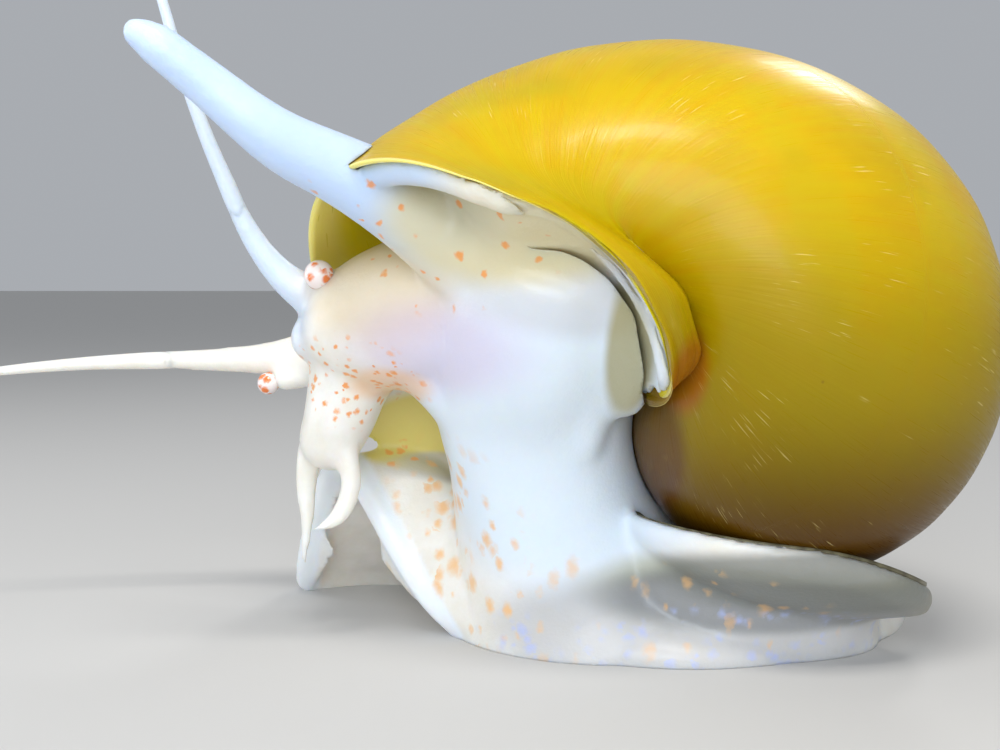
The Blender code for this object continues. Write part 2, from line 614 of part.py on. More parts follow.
# Cuts that part the body into its regions: middle, direction square to the cut, width and height
for point, normal, radius in (((3.2, -0.5, 14.5), (0.0, 0.23, 1.0), 12.5), ((-11.5, -0.8, 18.2), (0.1, 0.0, 1.0), 5.0)):
    boolean(body, slab("Cut", point, normal, radius, GAP, work), "DIFFERENCE")
CUTS = [
    ((-7.3, 0.8, 23.2), 0.0, 23.0, 16.6), ((-3.4, 6.0, 5.6), 0.0, 40.0, 19.2),
    ((14.0, 6.0, 5.6), 0.0, 40.0, 19.2), ((-12.4, 4.2, 5.6), math.atan2(0.757, -0.654), 24.2, 19.2)]
for point, turn, width, height in CUTS:
    bm = bmesh.new()
    bmesh.ops.create_cube(bm, size=1.0)
    bmesh.ops.scale(bm, vec=(GAP, width, height), verts=bm.verts)
    place = Matrix.Translation(point) @ Matrix.Rotation(turn, 4, "Z")
    bmesh.ops.transform(bm, matrix=place, verts=bm.verts)
    boolean(body, make_object("Cut", bm, work), "DIFFERENCE")

# Each region takes the name of the seed point nearest to its middle
SEEDS = {
    "foot_front_left": (-6.0, 2.0, 5.0, 800), "foot_front_right": (-11.0, 14.0, 5.0, 700),
    "foot_middle": (5.0, 4.0, 6.0, 1500), "foot_tail": (22.0, 5.0, 2.5, 1150), "mantle": (4.0, -4.0, 25.0, 2200),
    "head": (-11.5, 1.0, 23.5, 1400), "snout": (-12.2, -0.8, 17.5, 500)}
found = {}
for group in islands(body):
    middle = np.mean([body.data.vertices[i].co for i in group], axis=0)
    name = min(SEEDS, key=lambda k: np.linalg.norm(np.array(SEEDS[k][:3]) - middle))
    if len(group) > len(found.get(name, ())):
        found[name] = group
for name, group in found.items():
    piece = keep_island(body, group, name, snail)
    thin_out(piece, SEEDS[name][3])
    if name == "mantle":
        boolean(piece, least_room, "DIFFERENCE", "MANIFOLD")
        keep_largest(piece)
bpy.data.objects.remove(body)
snail.objects.link(shell)
work.objects.unlink(shell)

# Real size, origin on the sole
place = Matrix.Scale(SCALE, 4) @ Matrix.Translation(-Vector(SOLE_CENTRE))
for obj in snail.objects:
    obj.data.transform(place)
    obj.data.materials.clear()
    obj.data.materials.append(material_for(obj.name))
    obj.data.shade_smooth()
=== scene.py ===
import math

import bmesh
import bpy
import numpy as np
from mathutils import Matrix, Vector


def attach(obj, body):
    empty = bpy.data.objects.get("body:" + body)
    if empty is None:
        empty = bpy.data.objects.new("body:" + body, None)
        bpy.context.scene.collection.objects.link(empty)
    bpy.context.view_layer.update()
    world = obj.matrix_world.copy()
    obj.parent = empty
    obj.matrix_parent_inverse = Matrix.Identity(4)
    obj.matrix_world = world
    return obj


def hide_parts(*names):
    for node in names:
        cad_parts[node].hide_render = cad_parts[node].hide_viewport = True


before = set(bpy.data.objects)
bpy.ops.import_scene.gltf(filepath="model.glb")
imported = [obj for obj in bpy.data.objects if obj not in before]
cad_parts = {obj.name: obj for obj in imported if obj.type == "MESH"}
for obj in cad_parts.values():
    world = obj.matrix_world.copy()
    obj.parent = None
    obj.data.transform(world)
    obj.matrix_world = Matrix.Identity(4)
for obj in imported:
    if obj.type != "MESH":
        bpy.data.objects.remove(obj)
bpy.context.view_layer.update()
rng = np.random.default_rng(11)      # draws the growth waves of the shell

# Every shape is drawn in drawing millimetres; toWorld puts it on the frame in metres
drawing = dict(scale=0.0009, sole=(13.0, 5.0, 0.0))


def toWorld(points):
    return (np.asarray(points, float) - drawing["sole"]) * drawing["scale"]


# Smooth step: 3 f squared less 2 f cubed, held at 0 and at 1
def ease(f):
    f = np.clip(f, 0.0, 1.0)
    return f * f * (3 - 2 * f)


# Angles around a ring, without its closing one
def circle(count):
    return np.linspace(0, 2 * math.pi, count, endpoint=False)


# Catmull-Rom curve through rows of numbers, sampled between two fractions of its length
def curve(rows, count, start=0.0, end=1.0):
    p = np.array(rows, float)
    p = np.vstack([2 * p[0] - p[1], p, 2 * p[-1] - p[-2]])
    spans = len(p) - 3
    u = np.linspace(start * spans, end * spans, count)
    i = np.minimum(u.astype(int), spans - 1)
    f = (u - i)[:, None]
    a, b, c, d = p[i], p[i + 1], p[i + 2], p[i + 3]
    slope = (c - a) * f
    square = (2 * a - 5 * b + 4 * c - d) * f ** 2
    cube = (3 * b - a - 3 * c + d) * f ** 3
    return 0.5 * (2 * b + slope + square + cube)


# Unit directions along a path
def directions(path):
    tangent = np.gradient(path, axis=0)
    return tangent / np.linalg.norm(tangent, axis=1)[:, None]


# Quads of a grid whose rows are closed rings
def gridFaces(rows, columns):
    i, j = np.meshgrid(np.arange(rows - 1), np.arange(columns), indexing="ij")
    k = (j + 1) % columns
    quads = [i * columns + j, i * columns + k, (i + 1) * columns + k, (i + 1) * columns + j]
    return np.stack(quads, -1).reshape(-1, 4)


# Body through equal rings of points, closed by a fan at each end: its points and its faces
def loft(rings):
    rings = np.asarray(rings, float)
    rows, columns = rings.shape[:2]
    points = np.vstack([rings.reshape(-1, 3), rings[0].mean(0), rings[-1].mean(0)])
    low, high = rows * columns, rows * columns + 1
    last = (rows - 1) * columns
    j = np.arange(columns)
    k = (j + 1) % columns
    caps = [(low, b, a) for a, b in zip(j, k)] + [(high, last + a, last + b) for a, b in zip(j, k)]
    return points, gridFaces(rows, columns).tolist() + caps


def meshOf(name, parts):
    points, faces, start = [], [], 0
    for p, f in parts:
        points.append(p)
        faces += [tuple(int(i) + start for i in face) for face in f]
        start += len(p)
    mesh = bpy.data.meshes.new(name)
    mesh.from_pydata(np.vstack(points).tolist(), [], faces)
    mesh.update()
    return mesh


def objectOf(name, data):
    obj = bpy.data.objects.new(name, data)
    bpy.context.scene.collection.objects.link(obj)
    return obj


# Object of closed parts, with their faces turned outward
def solidOf(name, parts):
    mesh = meshOf(name, parts)
    bm = bmesh.new()
    bm.from_mesh(mesh)
    bmesh.ops.recalc_face_normals(bm, faces=bm.faces)
    bm.to_mesh(mesh)
    bm.free()
    return objectOf(name, mesh)


def coordinates(mesh):
    flat = np.empty(len(mesh.vertices) * 3)
    mesh.vertices.foreach_get("co", flat)
    return flat.reshape(-1, 3)


def moveTo(mesh, points):
    mesh.vertices.foreach_set("co", np.asarray(points, float).ravel())
    mesh.update()


def setAttribute(mesh, name, values):
    layer = mesh.attributes.new(name, "FLOAT", "POINT")
    layer.data.foreach_set("value", np.asarray(values).astype(np.float32).ravel())


# The mesh becomes what the modifiers make of it
def applied(obj):
    depsgraph = bpy.context.evaluated_depsgraph_get()
    mesh = bpy.data.meshes.new_from_object(obj.evaluated_get(depsgraph))
    obj.modifiers.clear()
    obj.data = mesh


def addSmooth(obj, iterations, group=""):
    smooth = obj.modifiers.new("Smooth", "SMOOTH")
    smooth.factor = 0.5
    smooth.iterations = iterations
    smooth.vertex_group = group


# Joins overlapping parts into one even skin
def remeshed(obj, voxel, iterations=0):
    remesh = obj.modifiers.new("Remesh", "REMESH")
    remesh.mode = "VOXEL"
    remesh.voxel_size = voxel
    if iterations:
        addSmooth(obj, iterations)
    applied(obj)


def cut(obj, cutter):
    modifier = obj.modifiers.new("Cut", "BOOLEAN")
    modifier.operation = "DIFFERENCE"
    modifier.solver = "MANIFOLD"
    modifier.object = cutter
    applied(obj)
    bpy.data.objects.remove(cutter)


# Large cube with one side on a plane, on the side its normal points to
def halfSpace(point, normal, size):
    n = Vector(normal).normalized()
    turned = n.to_track_quat("Z", "Y").to_matrix().to_4x4()
    bm = bmesh.new()
    bmesh.ops.create_cube(bm, size=size, matrix=Matrix.Translation(Vector(point) + n * size / 2) @ turned)
    mesh = bpy.data.meshes.new("half_space")
    bm.to_mesh(mesh)
    bm.free()
    return objectOf("half_space", mesh)


def joinTo(obj, other):
    bm = bmesh.new()
    bm.from_mesh(obj.data)
    bm.from_mesh(other.data)
    bm.to_mesh(obj.data)
    bm.free()
    bpy.data.objects.remove(other)


# Only the island with the most vertices stays; each vertex takes the lowest number it is joined to
def keepLargest(obj):
    mesh = obj.data
    edges = np.empty(len(mesh.edges) * 2, np.int64)
    mesh.edges.foreach_get("vertices", edges)
    a, b = edges.reshape(-1, 2).T
    label = np.arange(len(mesh.vertices))
    while True:
        low = np.minimum(label[a], label[b])
        fresh = label.copy()
        np.minimum.at(fresh, a, low)
        np.minimum.at(fresh, b, low)
        fresh = fresh[fresh]
        if np.array_equal(fresh, label):
            break
        label = fresh
    islands, sizes = np.unique(label, return_counts=True)
    if len(islands) > 1:
        loose = np.flatnonzero(label != islands[np.argmax(sizes)])
        bm = bmesh.new()
        bm.from_mesh(mesh)
        bm.verts.ensure_lookup_table()
        bmesh.ops.delete(bm, geom=[bm.verts[i] for i in loose], context="VERTS")
        bm.to_mesh(mesh)
        bm.free()


# Shell: one tube with a growing oval section about a tilted axis. A turn is in radians, lower toward the
# apex, and a side is the angle around the section.
shellForm = dict(
    growth=0.1256, radius=7.625, half=(13.36, 18.63), twist=-0.3925, drop=27.16,
    azimuth=0.7193, elevation=-0.374, mouthAngle=4.5258, apex=(29.72, 8.90, 13.98),
    last=1.0, settle=2.2,                       # turn of a plain mouth, and the turns its true shape takes
    core=0.5, coreFade=9.0, coreTurns=(-0.3, 0.8),      # least way from the axis; begins at, over turns
    wall=0.95, thin=0.45, thinTurns=(0.5, 0.4))         # thinner by this at the lip; begins before, over
flare = dict(radius=0.0979, half=0.1241, drop=-2.298, turns=1.921, most=1.6)
fold = dict(push=6.5, spread=1.5, side=4.3, slope=0.8, sides=(3.6, 4.4), soft=0.6,
            turns=(-2.4, -0.5), fade=(1.3, 1.0), left=0.2)
mouth = dict(
    plane=(-0.5486, -0.4399, -0.7110), offset=-11.88, search=(-1.2, 1.9), halvings=30,
    suture=1.7, early=0.25, farthest=1.3, longer=0.06, most=1.05,
    sides=(1.7, 3.3, 3.5, 3.7, 3.8, 3.9, 4.1, 4.3, 4.5, 4.7, 4.85),       # inner lip
    turns=(1.05, -1.3, -1.2, -0.75, -0.4, -0.1, 0.2, 0.35, 0.5, 0.6, 0.68))
lipWall = shellForm["wall"] - shellForm["thin"]


# With e = exp(growth turn), the distance from the axis is e radius + a cos side cos twist
# - b sin side sin twist, and the height is -e drop + a cos side sin twist + b sin side cos twist. The half
# widths a and b are e half + grow, and all of them flare with the square of the way to the mouth.
def shellPoints(turn, side, grow=0.0):
    f = shellForm
    turn, side, grow = np.broadcast_arrays(turn, np.mod(side, 2 * math.pi), grow)
    w = np.clip((turn + flare["turns"]) / flare["turns"], 0.0, flare["most"]) ** 2
    e = np.exp(f["growth"] * turn)
    a = (1 + flare["half"] * w) * f["half"][0] * e + grow
    b = (1 + flare["half"] * w) * f["half"][1] * e + grow
    across, along = a * np.cos(side), b * np.sin(side)
    cosTwist, sinTwist = math.cos(f["twist"]), math.sin(f["twist"])
    radius = e * f["radius"] * (1 + flare["radius"] * w) + across * cosTwist - along * sinTwist
    height = -e * f["drop"] + across * sinTwist + along * cosTwist - flare["drop"] * w
    early = 1 - ease((turn - f["coreTurns"][0]) / f["coreTurns"][1])
    radius = np.maximum(radius, f["core"] + np.maximum(0.0, -grow) - f["coreFade"] * early)
    angle = f["mouthAngle"] - turn
    local = np.stack([radius * np.cos(angle), radius * np.sin(angle), height], -1)
    az, el = f["azimuth"], f["elevation"]
    axis = np.array((math.sin(az) * math.cos(el), math.cos(az) * math.cos(el), math.sin(el)))
    right = np.array((1.0, 0, 0)) - axis * axis[0]
    right /= np.linalg.norm(right)
    world = local @ np.array((right, np.cross(axis, right), axis)) + f["apex"]
    world[..., 0] += columellaFold(turn, side, grow)
    return world


# The inner lip is pushed toward the umbilicus: a soft window over the sides times one over the turns
def columellaFold(turn, side, grow):
    late = turn - fold["slope"] * (side - fold["side"])
    low, high = fold["sides"]
    share = ease((side - low) / fold["soft"]) * (1 - ease((side - high) / fold["soft"]))
    begun = ease((late - fold["turns"][0]) / fold["fade"][0])
    ended = 1 - ease((late - fold["turns"][1]) / fold["fade"][1])
    hold = begun * (fold["left"] + (1 - fold["left"]) * ended)
    return (fold["push"] + fold["spread"] * grow) * share * hold


# Turn at which each side of the tube ends: where it meets the plane of the mouth, found by halving, and
# along the inner lip the turn from the table. ahead moves the plane forward.
def mouthTurns(side, grow=0.0, ahead=0.0):
    f = mouth
    side = np.mod(side, 2 * math.pi)
    low, high = (np.full(side.shape, turn) for turn in f["search"])
    for step in range(f["halvings"]):
        middle = (low + high) / 2
        short = shellPoints(middle, side, grow) @ np.array(f["plane"]) - f["offset"] < ahead
        low, high = np.where(short, middle, low), np.where(short, high, middle)
    early = np.where(side < f["suture"], f["early"] * ease(side / f["suture"]), 0.0)
    met = np.minimum(low, f["farthest"] - early)
    table = np.interp(side, f["sides"], f["turns"]) + f["longer"] * max(ahead, 0.0)
    listed = (side > f["sides"][0]) & (side < f["sides"][-1])
    return np.where(listed, np.minimum(table, f["most"]), met)


# Share of the mouth's true shape at a plain turn u
def settled(u):
    return ease((u - shellForm["last"] + shellForm["settle"]) / shellForm["settle"])[:, None]


# Closed length of the tube up to a plain turn, or to the mouth where ahead is given. Its section widens by
# thin just before the end.
def whorl(first, last, count, sides, grow=0.0, ahead=None, thin=0.0):
    side = circle(sides)
    u = np.linspace(first, last, count)
    before, span = shellForm["thinTurns"]
    wide = grow + thin * ease((u - last + before) / span)[:, None]
    if ahead is None:
        return loft(shellPoints(u[:, None] + np.zeros(sides), side, wide))
    return loft(shellPoints(u[:, None] + (mouthTurns(side, grow, ahead) - last) * settled(u), side, wide))


print("shell")
# Solid shell, a little larger than the real one, that is cut out of the flesh
cutterForm = dict(spare=0.12, voxel=0.45, sides=48, apex=-27.0, rows=230,
                  hollow=-0.9, hollowRows=40, ahead=1.6, inner=-3.9, innerRows=180)


def shellSolid():
    f, last = cutterForm, shellForm["last"]
    inside = -shellForm["wall"] - f["spare"]
    body = solidOf("shell_cut", [whorl(f["apex"], last, f["rows"], f["sides"], f["spare"], f["spare"])])
    hollow = solidOf("hollow", [
        whorl(f["hollow"], last, f["hollowRows"], f["sides"], inside, f["ahead"], shellForm["thin"])])
    inner = solidOf("inner", [whorl(f["apex"], f["inner"], f["innerRows"], f["sides"], f["spare"])])
    for obj in (body, hollow, inner):
        remeshed(obj, f["voxel"])
    cut(hollow, inner)
    keepLargest(hollow)
    cut(body, hollow)
    keepLargest(body)
    return body


shellCut = shellSolid()

# Visible shell. Its mark is the turn up to 1 at the lip, and goes on from innerMark inside; the colours
# read it.
fine = dict(sides=200, rows=470, turns=28.0, crowding=1.35, lip=9, lipMark=0.02, slowest=4.0, step=0.01,
            inner=70, innerMark=1.3, reach=1.5, thinBack=0.2)
waves = dict(count=14, rate=(4, 26), phase=(0, 6.28), lean=(-1, 1), height=0.035, fade=0.12)


# Outer sheet, half round lip and inner sheet in one grid: turn, growth of the section and mark
def shellGrid(side):
    f, last, wide = fine, shellForm["last"], (1, len(side))
    end = mouthTurns(side)
    u = last - f["turns"] * (1 - np.linspace(0, 1, f["rows"])) ** f["crowding"]
    ahead, behind = shellPoints(end + f["step"], side), shellPoints(end - f["step"], side)
    speed = np.linalg.norm(ahead - behind, axis=-1) / (2 * f["step"])
    turn = [u[:, None] + (end - last) * settled(u)]
    grow = [np.zeros((f["rows"], len(side)))]
    mark = [np.repeat(u[:, None], len(side), 1)]
    for k in range(1, f["lip"] + 1):
        w = math.pi * k / (f["lip"] + 1)
        turn.append((end + 0.5 * lipWall * math.sin(w) / np.maximum(speed, f["slowest"]))[None])
        grow.append(np.full(wide, -0.5 * lipWall * (1 - math.cos(w))))
        mark.append(np.full(wide, last + f["lipMark"] * k))
    back = np.linspace(0, 1, f["inner"])[:, None]
    turn.append(end + (-f["reach"] - end) * back)
    thinner = shellForm["thin"] * (1 - ease(back / f["thinBack"]))
    grow.append(np.repeat(-shellForm["wall"] + thinner, len(side), 1))
    mark.append(np.repeat(f["innerMark"] + back, len(side), 1))
    return np.vstack(turn), np.vstack(grow), np.vstack(mark)


# Low growth waves: a sum of sines along the mark, fading toward the apex and absent inside
def growthWaves(turn, side, mark):
    ripple = np.zeros_like(mark)
    for wave in range(waves["count"]):
        rate, phase, lean = (rng.uniform(*waves[key]) for key in ("rate", "phase", "lean"))
        ripple += np.sin(mark * rate + phase + lean * np.sin(side)) / rate ** 0.5
    outside = np.where(mark <= shellForm["last"], 1.0, 0.0)
    return ripple * (waves["height"] * outside * np.exp(waves["fade"] * np.minimum(turn, 0)))


shellSides = circle(fine["sides"])
turnGrid, growGrid, markGrid = shellGrid(shellSides)
growGrid = growGrid + growthWaves(turnGrid, shellSides, markGrid)
shellGridPoints = shellPoints(turnGrid, shellSides[None], growGrid)
shellPiece = objectOf("shell_skin", meshOf("shell_skin", [
    (shellGridPoints.reshape(-1, 3), gridFaces(*markGrid.shape))]))
setAttribute(shellPiece.data, "growth", markGrid)
setAttribute(shellPiece.data, "side", np.repeat(shellSides[None], len(markGrid), 0))

print("operculum")
plateForm = dict(
    centre=(20.3, -4.0), half=(10.5, 8.45), thick=0.6, edge=0.45, edgeFrom=0.97, rings=24, sides=120,
    height=5.2, middle=20.0, slope=0.12, bend=(0.038, 0.012), nearFrom=-3.5, nearBend=0.053)


# Top of the plate: height + slope d + bend d squared + nearBend n squared, where d is the way from x to the
# middle and n the way past nearFrom
def plateHeight(x, y):
    f = plateForm
    near = np.maximum(0.0, f["nearFrom"] - y)
    bend = np.where(x < f["middle"], *f["bend"])
    ahead = f["middle"] - x
    return f["height"] + f["slope"] * ahead + bend * ahead ** 2 + f["nearBend"] * near ** 2


# Oval plate under plateHeight, thinner at its outermost ring
def plate(centre, half, thick, lift=0.0):
    w = circle(plateForm["sides"])
    share = np.linspace(0.02, 1, plateForm["rings"])[:, None]
    x = centre[0] + half[0] * share * np.cos(w)
    y = centre[1] + half[1] * share * np.sin(w)
    top = plateHeight(x, y) + lift
    full = np.where(share > plateForm["edgeFrom"], plateForm["edge"], 1.0) * thick
    upper = np.stack([x, y, top - thick / 2 + full / 2], -1)
    lower = np.stack([x, y, top - thick / 2 - full / 2], -1)
    return loft(np.vstack([upper, lower[::-1]]))


platePiece = solidOf("operculum_plate", [
    plate(plateForm["centre"], plateForm["half"], plateForm["thick"])])

# Flesh: limbs, foot and the rest are joined into one skin. A limb's row is x, y, z, half width in the side
# view and half depth along Y.
limbs = dict(
    column=[
        (7.0, 3.0, 1.2, 13.0, 11.5), (5.6, 2.4, 4.5, 9.8, 10.0), (4.3, 1.2, 9.0, 7.9, 8.8),
        (3.2, -0.5, 14.0, 7.1, 8.0), (2.6, -2.0, 18.5, 7.5, 8.5), (2.6, -4.0, 24.0, 8.0, 11.0),
        (4.0, -6.0, 30.0, 8.0, 12.0)],
    neck=[
        (4.0, -4.0, 25.0, 7.0, 9.0), (-2.0, -3.5, 25.0, 6.4, 8.2), (-7.0, -2.0, 24.4, 5.6, 7.2),
        (-10.5, -0.5, 23.6, 4.4, 6.4), (-12.6, 0.5, 23.0, 2.4, 4.6)],
    snout=[
        (-9.8, -0.5, 23.0, 4.2, 5.4), (-11.2, -0.6, 19.5, 3.1, 4.2), (-11.9, -1.0, 17.0, 2.7, 3.5),
        (-12.6, -1.0, 15.2, 2.4, 3.0)],
    palpRight=[
        (-13.6, 0.6, 16.2, 1.2, 1.3), (-14.4, 0.8, 14.0, 1.0, 1.1), (-14.7, 0.6, 11.6, 0.85, 0.9),
        (-14.6, 0.2, 8.8, 0.55, 0.6), (-14.8, 0.0, 6.2, 0.36, 0.38), (-14.9, 0.0, 4.3, 0.22, 0.24)],
    palpLeft=[
        (-11.9, -2.2, 16.4, 1.2, 1.3), (-11.2, -2.8, 14.2, 0.9, 1.0), (-10.9, -3.1, 12.0, 0.78, 0.8),
        (-11.5, -3.6, 10.2, 0.74, 0.75), (-12.5, -4.1, 9.3, 0.52, 0.5), (-13.6, -4.5, 9.0, 0.24, 0.24)],
    tentacleLeft=[
        (-10.8, -1.2, 23.6, 2.3, 2.3), (-13.6, -2.0, 25.6, 1.6, 1.6), (-15.6, -2.6, 27.1, 1.2, 1.2),
        (-17.2, -3.1, 29.0, 0.95, 0.95), (-18.5, -3.6, 31.3, 0.78, 0.78), (-19.6, -4.1, 34.0, 0.62, 0.62),
        (-20.9, -4.7, 37.4, 0.52, 0.52), (-22.2, -5.4, 41.5, 0.44, 0.44), (-23.5, -6.0, 46.5, 0.36, 0.36),
        (-24.9, -6.4, 51.5, 0.22, 0.22)],
    tentacleRight=[
        (-11.0, 5.0, 21.2, 2.7, 2.7), (-15.0, 7.4, 20.9, 2.1, 2.1), (-18.5, 7.9, 20.7, 1.35, 1.35),
        (-22.0, 7.5, 20.6, 1.02, 1.02), (-26.5, 7.0, 20.6, 0.75, 0.75), (-32.8, 6.0, 20.4, 0.52, 0.52),
        (-39.0, 5.0, 19.9, 0.36, 0.36), (-43.5, 4.3, 19.3, 0.2, 0.2)],
    stalkLeft=[(-12.0, -2.2, 25.2, 1.7, 1.7), (-12.7, -3.4, 26.5, 1.25, 1.25)],
    stalkRight=[(-14.0, 7.0, 20.2, 1.6, 1.6), (-17.2, 7.0, 19.1, 1.0, 1.0)],
    siphon=[
        (1.5, -9.0, 26.0, 4.0, 4.0), (-3.0, -11.5, 29.8, 3.5, 3.2), (-6.6, -13.0, 32.1, 2.8, 2.6),
        (-10.0, -14.5, 33.9, 2.3, 2.2), (-13.2, -16.0, 35.4, 2.0, 1.9), (-15.4, -17.0, 36.9, 1.72, 1.7),
        (-17.6, -17.6, 38.7, 1.52, 1.5), (-19.6, -18.3, 40.3, 1.38, 1.4), (-20.9, -18.7, 41.3, 1.3, 1.35),
        (-21.9, -19.0, 41.9, 0.95, 1.0)],
    throat=[                                    # from the siphon down into the shell
        (-1.0, -12.0, 29.5, 3.6, 3.6), (3.5, -13.2, 27.6, 3.6, 3.4), (6.0, -12.4, 24.8, 2.6, 3.0),
        (6.2, -10.5, 21.5, 2.2, 2.6), (5.4, -7.5, 16.0, 2.0, 2.0)],
    underNeck=[                                 # rounds the corner between neck and column
        (-6.0, -3.2, 21.6, 2.4, 5.0), (-2.6, -3.0, 18.8, 2.9, 5.0), (-0.4, -2.6, 15.0, 2.6, 5.0)],
    lining=[                                    # fills the groove between column and lip
        (1.0, -15.4, 29.4, 1.5, 1.5), (4.5, -15.6, 28.5, 1.6, 1.6), (6.7, -15.3, 26.8, 1.7, 1.7),
        (7.9, -14.4, 24.8, 1.7, 1.7), (8.7, -13.2, 22.8, 1.6, 1.6), (9.0, -11.6, 20.8, 1.5, 1.5),
        (8.7, -9.5, 18.6, 1.2, 1.2)])
limbDetail = dict(                              # how finely each limb is drawn, in the order of the skin
    column=dict(sides=60, count=40, rounded=(False, False)), neck=dict(sides=60, count=40),
    snout=dict(sides=50, count=30), palpRight=dict(sides=24, count=30), palpLeft=dict(sides=24, count=30),
    tentacleLeft=dict(sides=28, count=30, end=0.5), tentacleRight=dict(sides=28, count=30, end=0.62),
    stalkLeft=dict(sides=24, count=10), stalkRight=dict(sides=24, count=10),
    siphon=dict(sides=40, count=60), throat=dict(sides=40, count=30, rounded=(True, True)),
    underNeck=dict(sides=32, count=20, rounded=(True, True)),
    lining=dict(sides=24, count=40, rounded=(True, True)))
capSteps = (0.98, 0.87, 0.65, 0.35)             # rings of a rounded end, as shares of its depth
tipForm = dict(sides=24, count=70, swell=0.25, slim=0.75, starts=dict(tentacleLeft=0.40, tentacleRight=0.50))


# Oval rings carried along a curve, square to it. A rounded end goes on as half an ellipsoid, and swell is the
# length over which a slim start grows to the full width.
def limb(rows, sides, count, start=0.0, end=1.0, rounded=(False, True), swell=0.0):
    path = curve(rows, count, start, end)
    if swell:
        grown = ease(np.linspace(0, 1, count) / swell)[:, None]
        path[:, 3:] *= tipForm["slim"] + (1 - tipForm["slim"]) * grown
    centre = path[:, :3]
    tangent = directions(centre)
    w = circle(sides)[:, None]

    def ring(c, t, a, b):
        across = np.cross(t, (0, 1, 0))
        across /= np.linalg.norm(across)
        return c + across * a * np.cos(w) + np.cross(across, t) * b * np.sin(w)

    def cap(at, way):
        wide, deep = path[at, 3:]
        shrink = [math.sqrt(1 - f * f) for f in capSteps]
        return [ring(centre[at] + way * tangent[at] * wide * f, tangent[at], wide * g, deep * g)
                for f, g in zip(capSteps, shrink)]

    rings = cap(0, -1) if rounded[0] else []
    rings += [ring(c, t, row[3], row[4]) for c, t, row in zip(centre, tangent, path)]
    rings += cap(-1, 1)[::-1] if rounded[1] else []
    return loft(rings)


footForm = dict(
    near=[(-2.3, 0.0), (3.0, -5.5), (11.0, -9.0), (18.0, -8.5), (24.5, -5.0), (30.0, 0.5), (33.0, 7.0)],
    far=[(-17.0, 17.0), (-10.0, 20.0), (0.0, 20.5), (10.0, 19.5), (19.0, 17.5), (27.0, 14.0), (32.5, 9.5)],
    rows=130, columns=80, press=1.0, pressFrom=1.5,
    thick=1.7, full=0.85, tailThinner=0.3, frontThinner=0.4, frontLength=0.08,
    marginThinner=0.35, marginPower=8, domePower=0.8,
    archMiddle=-0.1, archPower=1.5, archHeight=12.4, archLength=0.30,
    lean=4.4, leanLength=0.12, leanPower=1.3, leanWay=(-0.757, -0.654),
    ridgeAlong=(0, 0.06, 0.16, 0.3, 0.42, 0.55, 0.75, 1.0),
    ridgeHeight=(0.0, 1.2, 3.6, 5.4, 4.4, 3.2, 2.6, 0.6))
rimForm = dict(across=0.98, count=90, step=0.01, lift=0.4, radius=1.0, thinner=0.4, white=1.6, fade=0.5)


# Sole of the foot: along runs from 0 at the front to 1 at the tail, across from -1 at the near margin to 1 at
# the far one. The front is lifted into an arch, a bell across that eases out along, and leans forward.
def footSheet(along, across):
    f = footForm
    near, far = (curve(f[key], along.shape[0])[:, None] for key in ("near", "far"))
    flat = near + (far - near) * ((across + 1) / 2)[..., None]
    middle, power = f["archMiddle"], f["archPower"]
    off = np.abs(across - middle) / np.where(across < middle, 1 + middle, 1 - middle)
    bell = np.maximum(0.0, 1 - off ** power) ** power
    lift = f["archHeight"] * bell * (1 - ease(along / f["archLength"]))
    lean = f["lean"] * np.sqrt(bell) * np.maximum(0.0, 1 - along / f["leanLength"]) ** f["leanPower"]
    x, y = (flat[..., i] + f["leanWay"][i] * lean for i in (0, 1))
    return np.stack([x, y, lift], -1)


# Sole and top sheet; the top stands off the sole by a thickness that thins toward front, tail and margins,
# plus a ridge that is domed across
def footBody():
    f = footForm
    rows, columns = f["rows"], f["columns"]
    along, across = np.meshgrid(np.linspace(0, 1, rows), np.linspace(-1, 1, columns), indexing="ij")
    sole = footSheet(along, across)
    up = np.cross(np.gradient(sole, axis=0), np.gradient(sole, axis=1))
    up /= np.linalg.norm(up, axis=-1, keepdims=True)
    up *= np.sign(up[rows // 2, columns // 2, 2])
    dome = np.maximum(0.0, 1 - across ** 2) ** f["domePower"]
    height = np.interp(along, f["ridgeAlong"], f["ridgeHeight"])
    front = 1 - ease(along / f["frontLength"])
    lengthwise = f["full"] - f["tailThinner"] * along - f["frontThinner"] * front
    thick = f["thick"] * lengthwise * (1 - f["marginThinner"] * np.abs(across) ** f["marginPower"])
    top = sole + up * thick[..., None]
    top[..., 2] += height * dome
    sole[..., 2] -= f["press"] * (1 - ease(sole[..., 2] / f["pressFrom"]))     # sunk, to be cut flat
    return loft(np.concatenate([top, sole[:, ::-1]], 1))


# Round bar of changing radius along a path
def bar(path, radius, sides=20):
    path = np.asarray(path, float)
    tangent = directions(path)
    across = np.cross(tangent[0], (0.3, 0.2, 0.9))
    w = circle(sides)[:, None]
    rings = []
    for p, t, r in zip(path, tangent, np.broadcast_to(radius, len(path))):
        across = across - t * (across @ t)
        across /= np.linalg.norm(across)
        rings.append(p + r * (across * np.cos(w) + np.cross(t, across) * np.sin(w)))
    return loft(rings)


# Path and radius of the thick rim along the front edge of the foot
def footRim():
    f = rimForm
    across = np.linspace(-f["across"], f["across"], f["count"])
    along = np.zeros((2, f["count"])) + [[0.0], [f["step"]]]
    edge = footSheet(along, np.stack([across, across]))[0]
    edge[:, 2] += f["lift"]
    return edge, f["radius"] - f["thinner"] * np.abs(across) ** 6


